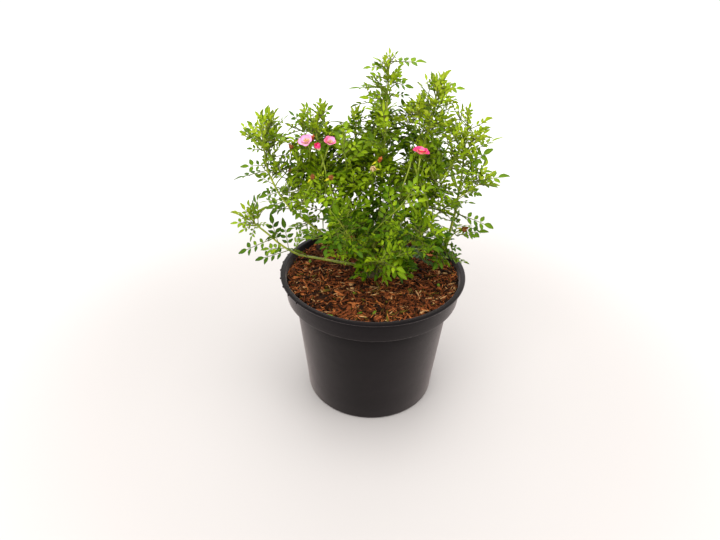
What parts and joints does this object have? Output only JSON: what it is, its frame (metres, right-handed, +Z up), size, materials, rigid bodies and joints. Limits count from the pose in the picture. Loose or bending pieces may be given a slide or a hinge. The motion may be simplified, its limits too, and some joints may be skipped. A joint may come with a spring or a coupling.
{
  "type": "potted rose bush",
  "caption": "Small rose bush on slender upright and arching canes with masses of fine foliage, in a tapered nursery pot topped with bark mulch.",
  "frame": {"origin": "centre of the pot's flat underside", "axes": "+Z up, +X to the right and +Y to the back as the plant is seen from its front"},
  "size_m": [0.27, 0.207, 0.362],
  "materials": {
    "pot_plastic": "satin charcoal injection moulding",
    "soil": "dark damp crumbs",
    "mulch": "shredded red-brown bark",
    "wood": "rough young bark",
    "cane": "smooth yellow-green stem",
    "foliage": "soft leaf green, bright at the young tips"
  },
  "bodies": {
    "root": {"bark_mulch": "mulch", "cane_back": "cane", "cane_back_left": "cane", "cane_back_left_upper1": "cane", "cane_back_right": "cane", "cane_back_right_upper1": "cane", "cane_back_upper1": "cane", "cane_centre_crown": "cane", "cane_front": "cane", "cane_front_left": "cane", "cane_front_right": "cane", "cane_left_crown": "cane", "cane_left_riser": "cane", "cane_left_runner": "cane", "cane_left_shoulder": "cane", "cane_right_riser": "cane", "cane_right_riser_upper1": "cane", "cane_right_runner": "cane", "cane_right_shoulder": "cane", "cane_right_shoulder_upper1": "cane", "cane_right_side": "cane", "cane_right_spire": "cane", "cane_tall": "cane", "cane_tall_upper1": "cane", "crown_stem": "wood", "foliage_back": "foliage", "foliage_back_crown": "foliage", "foliage_back_left": "foliage", "foliage_back_right": "foliage", "foliage_centre_crown": "foliage", "foliage_foot_back": "foliage", "foliage_foot_front": "foliage", "foliage_front_left": "foliage", "foliage_front_right": "foliage", "foliage_heart": "foliage", "foliage_left_body": "foliage", "foliage_left_crown": "foliage", "foliage_left_hanging": "foliage", "foliage_left_runner": "foliage", "foliage_left_shoulder": "foliage", "foliage_left_side": "foliage", "foliage_left_tip": "foliage", "foliage_right_body": "foliage", "foliage_right_low": "foliage", "foliage_right_rim": "foliage", "foliage_right_shoulder": "foliage", "foliage_right_side": "foliage", "foliage_right_spire": "foliage", "foliage_top": "foliage", "pot": "pot_plastic", "potting_soil": "soil"}
  },
  "joints": []
}
